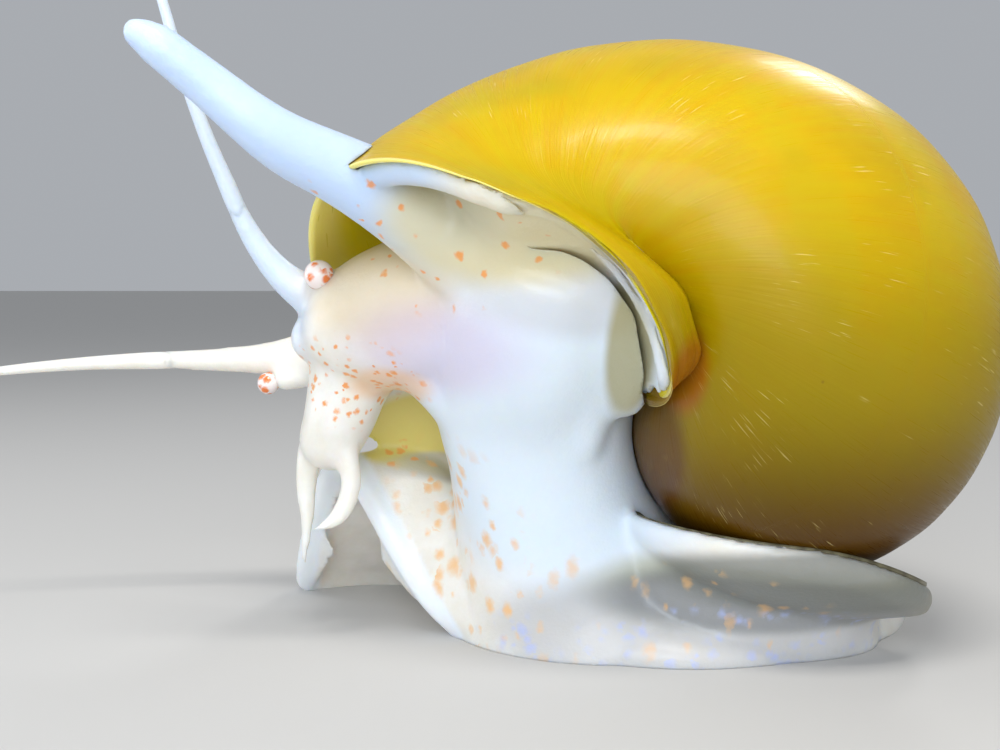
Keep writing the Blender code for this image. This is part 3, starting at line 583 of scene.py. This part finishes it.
veilForm = dict(
    low=[(-12.5, 4.0, 16.0), (-9.0, 6.0, 13.2), (-4.5, 7.0, 11.2), (1.5, 5.5, 10.6)],
    high=[(-12.0, 2.5, 22.5), (-8.0, 3.0, 23.0), (-3.5, 3.5, 23.0), (1.5, 2.0, 23.0)],
    count=40, sides=40, thick=0.6, way=(0.2, 0.9, 0.3))


# Thin flap on the neck's far side, seen through the gap behind the snout: flat ovals between two curves
def veil():
    f = veilForm
    low, high = curve(f["low"], f["count"]), curve(f["high"], f["count"])
    w = circle(f["sides"])[:, None]
    depth = np.array(f["way"]) * f["thick"] * np.sin(w)
    return loft([(a + b) / 2 + (a - b) / 2 * np.cos(w) + depth for a, b in zip(low, high)])


print("mantle")
# Fills the last whorl up to a plane a little behind the mouth; gap is the room to the shell's wall
mantleForm = dict(gap=0.3, first=-0.84, rows=40, sides=60, ahead=0.8, behind=1.7, lean=0.4,
                  side=(-5.6, 0, 25.0), reach=120.0)
inside = -shellForm["wall"] - mantleForm["gap"]
plug = solidOf("plug", [
    whorl(mantleForm["first"], shellForm["last"], mantleForm["rows"], mantleForm["sides"], inside,
          mantleForm["ahead"], shellForm["thin"])])
face = np.array(mouth["plane"]) - (mantleForm["lean"], 0, 0)
facePoint = face * ((mouth["offset"] - mantleForm["behind"]) / (face @ face))
cut(plug, halfSpace(facePoint, face, mantleForm["reach"]))
cut(plug, halfSpace(mantleForm["side"], (-1, 0, 0), mantleForm["reach"]))
keepLargest(plug)

# Rolled edge of the mantle along the lip: thick above, a thin band down to the umbilicus
roll = dict(sides=(5.55, 3.78), at=(3.78, 3.9, 4.3, 4.5, 4.72), thick=(0.4, 0.75, 0.5, 0.42, 1.1),
            count=70, back=0.03, gap=0.05)
rollSide = np.linspace(*roll["sides"], roll["count"])
rollThick = np.interp(rollSide, roll["at"], roll["thick"])
rollPath = shellPoints(mouthTurns(rollSide) - roll["back"], rollSide, -lipWall - rollThick - roll["gap"])

print("flesh")
lobes = [                                       # fleshy lobes under the operculum: centre, half, thick, lift
    ((20.1, -4.0), (11.1, 9.0), 2.2, -0.3), ((17.5, -0.5), (11.0, 7.6), 4.6, -1.6)]
skinForm = dict(voxel=0.3, smooth=5, softSmooth=60, softLeast=0.02, lastSmooth=3, reach=150.0, room=0.1)
softSpots = [                                   # middle, size, start of the fade and share
    ((5.5, -11.0, 24.5), (9.0, 12.0, 11.0), 1.3, 1.0),      # roof of the column, inside the mouth
    ((-14.5, 9.0, 5.0), (4.0, 9.0, 7.0), 1.4, 0.12)]        # far half of the foot's arch

parts = [footBody(), bar(*footRim())] + [plate(*lobe) for lobe in lobes]
parts += [limb(limbs[name], **detail) for name, detail in limbDetail.items()] + [veil()]
skin = solidOf("flesh", parts)
joinTo(skin, plug)
remeshed(skin, skinForm["voxel"], skinForm["smooth"])
keepLargest(skin)

points = coordinates(skin.data)
soften = np.zeros(len(points))
for middle, size, start, share in softSpots:
    soften += share * ease(start - np.linalg.norm((points - middle) / size, axis=1))
group = skin.vertex_groups.new(name="soft")
for i in np.flatnonzero(soften > skinForm["softLeast"]):
    group.add([int(i)], float(soften[i]), "REPLACE")
addSmooth(skin, skinForm["softSmooth"], "soft")
applied(skin)
skin.vertex_groups.clear()
joinTo(skin, solidOf("edging", [bar(rollPath, rollThick)]))
remeshed(skin, skinForm["voxel"], skinForm["lastSmooth"])

cut(skin, halfSpace((0, 0, 0), (0, 0, -1), skinForm["reach"]))
cut(skin, shellCut)
room = [half + skinForm["room"] for half in plateForm["half"]]
roomThick = plateForm["thick"] + 2 * skinForm["room"]
cut(skin, solidOf("room", [plate(plateForm["centre"], room, roomThick, skinForm["room"])]))
keepLargest(skin)

points = coordinates(skin.data)
away = np.full(len(points), 99.0)
for place in footRim()[0]:
    away = np.minimum(away, np.linalg.norm(points - place, axis=1))
setAttribute(skin.data, "rim", ease((rimForm["white"] - away) / rimForm["fade"]))
print("skin triangles", sum(len(p.vertices) - 2 for p in skin.data.polygons))

# Thin ends of the feelers, set into the skin where it is still thick
tips = solidOf("tips", [
    limb(limbs[name], tipForm["sides"], tipForm["count"], start, swell=tipForm["swell"])
    for name, start in tipForm["starts"].items()])

print("eyes")
eyes = dict(eye_left=(-12.95, -4.3, 27.35, 1.08), eye_right=(-18.55, 6.95, 18.75, 0.88))     # middle, radius
eyePieces = []
for name, (x, y, z, radius) in eyes.items():
    bm = bmesh.new()
    bmesh.ops.create_icosphere(bm, subdivisions=5, radius=radius, matrix=Matrix.Translation((x, y, z)))
    mesh = bpy.data.meshes.new(name)
    bm.to_mesh(mesh)
    bm.free()
    eyePieces.append(objectOf(name + "_ball", mesh))

print("placing")
for obj in [shellPiece, platePiece, skin, tips] + eyePieces:
    moveTo(obj.data, toWorld(coordinates(obj.data)))
    obj.data.shade_smooth()
    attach(obj, "root")
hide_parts("head", "mantle", "snout", "palp_left", "palp_right", "foot_front_left",
            "foot_front_right", "foot_middle", "foot_tail", "siphon_root", "siphon_tip")
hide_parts("tentacle_left_root", "tentacle_left_tip", "tentacle_right_root", "tentacle_right_tip")
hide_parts("shell")
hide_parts("operculum")
for obj, name in zip(eyePieces, eyes):
    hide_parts(name)

print("materials")


# Links sockets to a node's inputs and sets plain values on them
def feed(tree, node, inputs):
    for key, value in inputs.items():
        if isinstance(value, bpy.types.NodeSocket):
            tree.links.new(value, node.inputs[key])
        else:
            node.inputs[key].default_value = value


def add(tree, kind, inputs, **settings):
    node = tree.nodes.new("ShaderNode" + kind)
    for key, value in settings.items():
        setattr(node, key, value)
    feed(tree, node, inputs)
    return node


def material(name):
    made = bpy.data.materials.new(name)
    made.use_nodes = True
    return made, made.node_tree, made.node_tree.nodes["Principled BSDF"]


def mathNode(tree, operation, a, b):
    return add(tree, "Math", {0: a, 1: b}, operation=operation).outputs[0]


def vectorNode(tree, operation, *values):
    return add(tree, "VectorMath", dict(enumerate(values)), operation=operation).outputs


def times(tree, *values):
    out = values[0]
    for value in values[1:]:
        out = mathNode(tree, "MULTIPLY", out, value)
    return out


def remap(tree, value, low, high, to=(0.0, 1.0)):
    return add(tree, "MapRange", {0: value, 1: low, 2: high, 3: to[0], 4: to[1]},
               interpolation_type="SMOOTHSTEP").outputs[0]


def mixed(tree, factor, a, b):
    a, b = ((*value, 1.0) if isinstance(value, tuple) else value for value in (a, b))
    return add(tree, "Mix", {0: factor, 6: a, 7: b}, data_type="RGBA").outputs[2]


def noise(tree, vector, scale, detail=3.0, rough=0.5):
    inputs = {"Vector": vector, "Scale": scale, "Detail": detail, "Roughness": rough}
    return add(tree, "TexNoise", inputs).outputs["Fac"]


# Colours laid over one another; each row has a mask, its share and the colour
def layered(tree, colour, rows):
    for mask, share, shade in rows:
        colour = mixed(tree, times(tree, mask, share), colour, shade)
    return colour


# Object position in drawing millimetres
def placed(tree):
    spot = add(tree, "TexCoord", {}).outputs["Object"]
    return vectorNode(tree, "MULTIPLY_ADD", spot, (1 / drawing["scale"],) * 3, drawing["sole"])[0]


def relief(tree, shader, height, strength, distance):
    bump = add(tree, "Bump", {"Height": height, "Strength": strength, "Distance": distance})
    tree.links.new(bump.outputs[0], shader.inputs["Normal"])


# Node group with named inputs and one mask, which draw builds from the inputs
def maskGroup(name, inputs, draw):
    group = bpy.data.node_groups.new(name, "ShaderNodeTree")
    for key, kind in inputs.items():
        group.interface.new_socket(key, in_out="INPUT", socket_type="NodeSocket" + kind)
    group.interface.new_socket("Mask", in_out="OUTPUT", socket_type="NodeSocketFloat")
    mask = draw(group, group.nodes.new("NodeGroupInput").outputs)
    group.links.new(mask, group.nodes.new("NodeGroupOutput").inputs["Mask"])
    return group


# 1 inside an oval region, 0 outside, with a soft edge
def drawRegion(tree, given):
    offset = vectorNode(tree, "SUBTRACT", given["Vector"], given["Centre"])[0]
    ratio = vectorNode(tree, "DIVIDE", offset, given["Size"])[0]
    length = vectorNode(tree, "LENGTH", ratio)["Value"]
    return remap(tree, length, 1.0, mathNode(tree, "ADD", 1.0, given["Softness"]), (1.0, 0.0))


# Round spots of mixed size on shaken cells; the share is that of the cells that hold one
def drawDots(tree, given):
    scale, blur = given["Scale"], given["Blur"]
    shake = {"Vector": given["Vector"], "Scale": times(tree, scale, 2.2), "Detail": 2.0}
    wobble = add(tree, "TexNoise", shake).outputs["Color"]
    reach = mathNode(tree, "DIVIDE", 0.5, scale)
    shifted = vectorNode(tree, "MULTIPLY_ADD", wobble, reach, given["Vector"])[0]
    squeezed = vectorNode(tree, "MULTIPLY", shifted, given["Stretch"])[0]
    cell = add(tree, "TexVoronoi", {"Vector": squeezed, "Scale": scale})
    pick = add(tree, "SeparateColor", {0: cell.outputs["Color"]})
    size = times(tree, mathNode(tree, "ADD", pick.outputs[1], 0.45), given["Radius"])
    near = mathNode(tree, "DIVIDE", cell.outputs["Distance"], size)
    clear = mathNode(tree, "SUBTRACT", 1.0, blur)
    edge = mathNode(tree, "ADD", 1.0, times(tree, blur, 0.4))
    held = mathNode(tree, "LESS_THAN", pick.outputs[0], given["Share"])
    return times(tree, remap(tree, near, clear, edge, (1.0, 0.0)), held)


regionGroup = maskGroup("region", dict(Vector="Vector", Centre="Vector", Size="Vector", Softness="Float"),
                        drawRegion)
dotsGroup = maskGroup("dots", dict(Vector="Vector", Scale="Float", Radius="Float", Share="Float",
                                   Stretch="Vector", Blur="Float"), drawDots)


def region(tree, spot, centre, size, soft):
    inputs = {"Vector": spot, "Centre": centre, "Size": size, "Softness": soft}
    return add(tree, "Group", inputs, node_tree=regionGroup).outputs["Mask"]


def dots(tree, spot, scale, radius, share, stretch=(1.0, 1.0, 1.0), blur=0.5):
    inputs = {"Vector": spot, "Scale": scale, "Radius": radius, "Share": share, "Stretch": stretch,
              "Blur": blur}
    return add(tree, "Group", inputs, node_tree=dotsGroup).outputs["Mask"]


shellFinish = {
    "Subsurface Weight": 0.45, "Subsurface Radius": (1.0, 0.75, 0.08), "Subsurface Scale": 0.0018,
    "Specular IOR Level": 0.18, "Coat Weight": 0.06, "Coat Roughness": 0.12}


def shellMaterial():
    look, tree, shader = material("shell_look")
    growth = add(tree, "Attribute", {}, attribute_name="growth").outputs["Fac"]
    around = add(tree, "Attribute", {}, attribute_name="side").outputs["Fac"]
    spot = placed(tree)
    height = add(tree, "SeparateXYZ", {0: spot}).outputs[2]

    def lines(across, along):                   # place in a pattern drawn out along the growth lines
        place = {0: times(tree, growth, across), 1: times(tree, around, along)}
        return add(tree, "CombineXYZ", place).outputs[0]

    broad = noise(tree, lines(9.0, 0.9), 1.0, 3.0, 0.6)
    stria = noise(tree, lines(60.0, 1.4), 1.0, 2.0)
    shine = noise(tree, lines(60.0, 1.4), 2.0, 2.0)
    band = noise(tree, lines(0.7, 3.2), 1.0, 2.0)
    scratch = remap(tree, noise(tree, lines(110.0, 5.0), 1.0, 1.0), 0.66, 0.74)
    cloud = noise(tree, spot, 0.09)
    patch = remap(tree, noise(tree, spot, 0.22, 2.0), 0.52, 0.62)
    navelShade = region(tree, spot, (11.7, -14.0, 21.3), (1.1, 6.0, 2.2), 0.7)
    creaseShade = region(tree, spot, (10.6, -9.0, 14.0), (1.3, 8.0, 4.5), 0.7)
    edge = times(tree, remap(tree, growth, 0.985, 1.0), remap(tree, growth, 1.33, 1.36, (1.0, 0.0)))
    gold = mixed(tree, remap(tree, broad, 0.2, 0.85), (0.60, 0.35, 0.0), (0.58, 0.42, 0.0))
    colour = layered(tree, gold, [
        (remap(tree, band, 0.5, 0.66), 0.35, (0.52, 0.42, 0.008)),          # bands along the whorl
        (remap(tree, height, 37.0, 18.0), 0.85, (0.24, 0.17, 0.0)),         # darker below the middle: partly the shell's own duller colour, partly painted shade
        (remap(tree, cloud, 0.45, 0.7), 0.3, (0.26, 0.20, 0.0)),            # clouds
        (remap(tree, height, 21.0, 8.5), 0.94, (0.075, 0.024, 0.0)),        # brown underside: partly the shell's own brown, partly painted shade
        # painted shade in the hollow of the umbilicus, brown-orange
        (navelShade, 0.85, (0.36, 0.115, 0.004)),
        (creaseShade, 0.7, (0.10, 0.03, 0.001)),                                   # painted shade in the crease below the umbilicus, beside the column
        (times(tree, scratch, patch), 0.4, (0.92, 0.76, 0.30)),
        (dots(tree, spot, 0.16, 0.07, 0.4), 0.6, (0.16, 0.08, 0.01)),       # dark specks
        (remap(tree, growth, 1.0, 1.02), 1.0, (1.0, 0.80, 0.03)),           # inside: the inner face's yellow, brightened with painted light for light shining through the thin shell
        (edge, 0.7, (0.90, 0.76, 0.30))])                                   # pale lip
    feed(tree, shader, {"Base Color": colour, "Roughness": remap(tree, shine, 0.3, 0.7, (0.27, 0.44)),
                        **shellFinish})
    rise = mathNode(tree, "ADD", times(tree, broad, 0.7), times(tree, stria, 0.3))
    relief(tree, shader, rise, 0.28, 0.00014)
    return look


skinFinish = {
    "Roughness": 0.36, "Subsurface Weight": 0.6, "Subsurface Radius": (1.0, 0.75, 0.55),
    "Subsurface Scale": 0.0014}
# Tints of the skin and painted shade, laid over one another: middle, size, softness, share and colour
skinTintsAndPaintedShade = [
    ((4.0, -8.0, 17.0), (8.0, 12.0, 9.0), 0.7, 0.85, (0.74, 0.85, 0.98)),       # column
    ((-14.0, -16.5, 36.0), (13.0, 6.0, 9.0), 0.5, 0.85, (0.50, 0.66, 0.92)),    # siphon
    ((-20.0, -4.0, 38.0), (8.0, 5.0, 16.0), 0.4, 0.8, (0.58, 0.72, 0.92)),      # left feeler
    ((-7.0, -6.0, 27.0), (6.0, 6.0, 3.5), 0.6, 0.7, (0.74, 0.62, 0.42)),        # crown of the head
    ((5.0, -14.0, 26.5), (5.5, 6.0, 2.5), 0.6, 0.5, (0.58, 0.58, 0.60)),        # top of the column: grey painted shade under the lip
    ((1.5, -13.0, 31.0), (7.5, 8.0, 3.6), 0.5, 0.75, (0.70, 0.61, 0.32)),       # inside the mouth: painted shade, yellowed as by light through the shell
    ((-3.5, -9.0, 22.5), (3.6, 5.0, 1.8), 1.6, 0.55, (0.62, 0.50, 0.66)),       # side of the neck
    ((-7.6, -4.5, 19.6), (2.2, 4.0, 1.0), 0.9, 0.6, (0.86, 0.52, 0.26)),        # orange edge of the gap
    ((18.0, -6.0, 5.2), (9.0, 9.0, 2.2), 0.6, 0.75, (0.42, 0.44, 0.33)),        # fold under the operculum: olive painted shade
    ((8.4, -14.0, 22.5), (1.2, 4.0, 5.5), 0.6, 0.75, (0.36, 0.31, 0.08)),       # between column and lip: olive painted shade
    ((26.0, -5.0, 5.0), (6.0, 7.0, 2.0), 0.5, 0.8, (0.38, 0.34, 0.10)),         # tail: olive painted shade, yellowed as by light through the shell
    ((20.0, -7.0, 4.6), (10.0, 8.0, 1.9), 0.5, 0.85, (0.13, 0.13, 0.10)),       # dark fold
    ((14.0, -10.0, 2.0), (14.0, 7.0, 3.4), 0.6, 0.6, (0.40, 0.41, 0.44))]       # side of the foot: grey painted shade under the shell
skinOvertintsAndPaintedLight = [                               # the same, over the blue dots, with painted shade and painted light
    ((22.0, -11.0, 6.4), (10.0, 6.0, 2.2), 0.5, 0.8, (0.20, 0.21, 0.19)),       # lobe under the operculum: grey painted shade
    ((-6.0, 6.0, 15.0), (6.5, 2.6, 3.6), 0.3, 0.9, (0.74, 0.64, 0.14)),         # far flap: yellow painted light, as if through the shell
    ((-6.0, 6.5, 12.0), (7.0, 2.5, 1.1), 0.5, 0.8, (0.50, 0.49, 0.46))]         # its lower edge
orange, amber = (0.86, 0.33, 0.06), (0.88, 0.50, 0.17)
# Dots: scale, radius, share of the cells, stretch, blur; the region that holds them; strength and colour
skinDots = [
    ((1.35, 0.32, 0.8), ((-9.8, -4.0, 20.0), (4.6, 6.0, 3.2), 0.35), 0.9, orange),          # snout
    ((0.75, 0.20, 0.6), ((-4.0, -13.0, 30.5), (8.0, 8.0, 5.0), 0.3), 0.85, orange),         # neck
    ((0.9, 0.26, 0.6), ((-6.0, 6.0, 15.0), (6.5, 2.6, 3.6), 0.3), 0.7, orange),             # far flap
    ((0.85, 0.40, 0.85, (1.0, 1.0, 0.75), 0.7),
     ((-3.5, -1.0, 5.5), (4.5, 12.0, 7.0), 0.7), 0.75, amber),          # front of the foot
    ((0.75, 0.30, 0.5, (1.0, 1.0, 0.6), 0.8),
     ((9.0, -5.0, 3.5), (13.0, 14.0, 4.0), 0.4), 0.5, amber)]           # side of the foot


def skinMaterial():
    look, tree, shader = material("skin_look")
    spot = placed(tree)
    mottle = noise(tree, spot, 0.35, 4.0, 0.6)

    def tints(rows):
        return [(region(tree, spot, centre, size, soft), share, shade)
                for centre, size, soft, share, shade in rows]

    side = region(tree, spot, (16.0, -8.0, 1.2), (15.0, 8.0, 2.4), 0.5)
    cloudy = remap(tree, noise(tree, spot, 0.45), 0.42, 0.62)
    blueDots = times(tree, side, cloudy, dots(tree, spot, 1.1, 0.5, 0.8, blur=0.8))
    rim = add(tree, "Attribute", {}, attribute_name="rim").outputs["Fac"]
    pale = mixed(tree, remap(tree, mottle, 0.3, 0.7), (0.80, 0.77, 0.69), (0.86, 0.84, 0.79))
    spots = [(times(tree, dots(tree, spot, *size), region(tree, spot, *place)), share, shade)
             for size, place, share, shade in skinDots]
    colour = layered(tree, pale, tints(skinTintsAndPaintedShade) + [(blueDots, 0.6, (0.44, 0.52, 0.86))]
                     + tints(skinOvertintsAndPaintedLight) + spots + [(rim, 0.9, (0.84, 0.90, 0.97))])
    feed(tree, shader, {"Base Color": colour, **skinFinish})
    small, large = noise(tree, spot, 2.6, 3.0, 0.6), noise(tree, spot, 0.7, 2.0)
    grain = mathNode(tree, "ADD", times(tree, small, 0.6), times(tree, large, 0.4))
    relief(tree, shader, grain, 0.22, 0.00022)
    return look


# Growth rings about a point near the plate's inner edge
def plateMaterial():
    look, tree, shader = material("operculum_look")
    flat = vectorNode(tree, "MULTIPLY", placed(tree), (1.0, 1.25, 0.0))[0]
    away = vectorNode(tree, "DISTANCE", flat, (17.0, -5.0, 0.0))["Value"]
    rings = add(tree, "CombineXYZ", {0: times(tree, away, 3.2)}).outputs[0]
    ridge = noise(tree, rings, 1.0, 2.0)
    colour = mixed(tree, remap(tree, ridge, 0.35, 0.65), (0.07, 0.06, 0.03), (0.20, 0.18, 0.10))
    feed(tree, shader, {"Base Color": colour, "Roughness": 0.42})
    relief(tree, shader, ridge, 0.5, 0.0001)
    return look


def eyeMaterial():
    look, tree, shader = material("eye_look")
    speckled = dots(tree, placed(tree), 1.5, 0.5, 0.75)
    colour = mixed(tree, speckled, (0.86, 0.78, 0.76), (0.78, 0.22, 0.06))
    feed(tree, shader, {"Base Color": colour, "Roughness": 0.14, "Subsurface Weight": 0.3,
                        "Subsurface Radius": (1.0, 0.5, 0.4), "Subsurface Scale": 0.0005})
    return look


skinLook, eyeLook = skinMaterial(), eyeMaterial()
dressed = [(shellPiece, shellMaterial()), (skin, skinLook), (tips, skinLook), (platePiece, plateMaterial())]
for obj, look in dressed + [(obj, eyeLook) for obj in eyePieces]:
    obj.data.materials.clear()
    obj.data.materials.append(look)

print("floor, light and camera")
floorForm = dict(half=3, colour=(0.60, 0.59, 0.57, 1.0), roughness=0.9)
corners = [(x * floorForm["half"], y * floorForm["half"], 0)
           for x, y in ((-1, -1), (1, -1), (1, 1), (-1, 1))]
floor = objectOf("floor", meshOf("floor", [(np.array(corners), [(0, 1, 2, 3)])]))
floorLook, tree, shader = material("floor_look")
feed(tree, shader, {"Base Color": floorForm["colour"], "Roughness": floorForm["roughness"]})
floor.data.materials.append(floorLook)

sky = dict(colour=(0.86, 0.90, 0.96, 1.0), strength=0.46)
world = bpy.data.worlds.new("studio")
bpy.context.scene.world = world
world.use_nodes = True
background = world.node_tree.nodes["Background"]
background.inputs[0].default_value, background.inputs[1].default_value = sky["colour"], sky["strength"]

lamps = dict(
    key=dict(place=(-0.01, -0.14, 0.24), target=(0.0, 0.0, 0.02), size=(0.08, 0.05), power=0.38,
             colour=(1.0, 0.98, 0.95)),
    fill=dict(place=(-0.04, -0.26, 0.10), target=(0.0, 0.0, 0.02), size=(0.16, 0.16), power=0.5,
              colour=(0.88, 0.93, 1.0)),
    side=dict(place=(-0.22, 0.02, 0.05), target=(0.0, 0.0, 0.025), size=(0.12, 0.12), power=0.10,
              colour=(0.95, 0.97, 1.0)),
    back=dict(place=(0.12, 0.20, 0.20), target=(0.0, 0.0, 0.03), size=(0.06, 0.06), power=0.12,
              colour=(1.0, 1.0, 1.0)))
for name, form in lamps.items():
    lamp = bpy.data.lights.new(name, "AREA")
    lamp.shape = "RECTANGLE"
    lamp.size, lamp.size_y = form["size"]
    lamp.energy = form["power"]
    lamp.color = form["colour"]
    obj = objectOf(name, lamp)
    obj.location = form["place"]
    obj.rotation_mode = "QUATERNION"
    obj.rotation_quaternion = (Vector(form["target"]) - Vector(form["place"])).to_track_quat("-Z", "Y")

view = dict(lens=50.0, sensor=36.0, place=(0.0, -104.0, 27.0), fall=95 / 1389, clip=(0.005, 10.0))
cameraData = bpy.data.cameras.new("camera")
cameraData.lens = view["lens"]
cameraData.sensor_width = view["sensor"]
cameraData.clip_start, cameraData.clip_end = view["clip"]
camera = objectOf("camera", cameraData)
camera.location = toWorld(view["place"])
camera.rotation_euler = (math.radians(90) - math.atan(view["fall"]), 0, 0)
bpy.context.scene.camera = camera
bpy.context.scene.view_settings.view_transform = "Standard"
